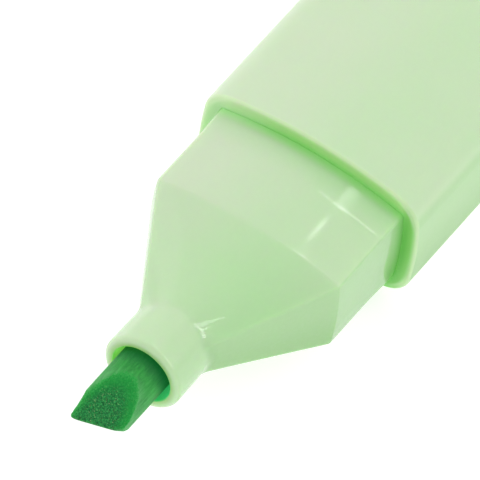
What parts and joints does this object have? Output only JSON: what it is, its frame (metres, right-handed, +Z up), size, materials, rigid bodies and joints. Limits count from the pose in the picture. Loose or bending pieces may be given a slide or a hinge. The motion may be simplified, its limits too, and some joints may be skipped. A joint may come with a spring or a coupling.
{
  "type": "highlighter",
  "caption": "Flat highlighter marker with a skewed chisel nib in a collared, tapered nose, and a clip cap that pulls off the tail where it is posted.",
  "frame": {"origin": "centre of the underside of the bounding box, on the surface that the pen lies on", "axes": "+X along the pen from the nib to the tail, +Y across its width, +Z up through its thickness"},
  "size_m": [0.1412, 0.024, 0.0178],
  "materials": {
    "barrel_plastic": "fine matte, pastel green, slightly translucent",
    "nose_plastic": "smooth semi-gloss, pastel green, slightly translucent",
    "nib_fibre": "sintered fibre soaked with green ink",
    "wadding": "polyester fibre wadding soaked with green ink",
    "film": "clear wrapping film",
    "cap_plastic": "fine matte, pastel green, slightly translucent",
    "liner_plastic": "smooth translucent white"
  },
  "bodies": {
    "pen_body": {"barrel": "barrel_plastic", "nose_section": "nose_plastic", "chisel_nib": "nib_fibre", "reservoir_core": "wadding", "reservoir_wrap": "film", "end_plug": "barrel_plastic"},
    "cap": {"cap_shell": "cap_plastic", "cap_seal_liner": "liner_plastic"}
  },
  "joints": [
    {"name": "cap_pull", "type": "slide", "parent": "pen_body", "child": "cap", "axis": [1, 0, 0], "range_m": [0, 0.03]}
  ]
}
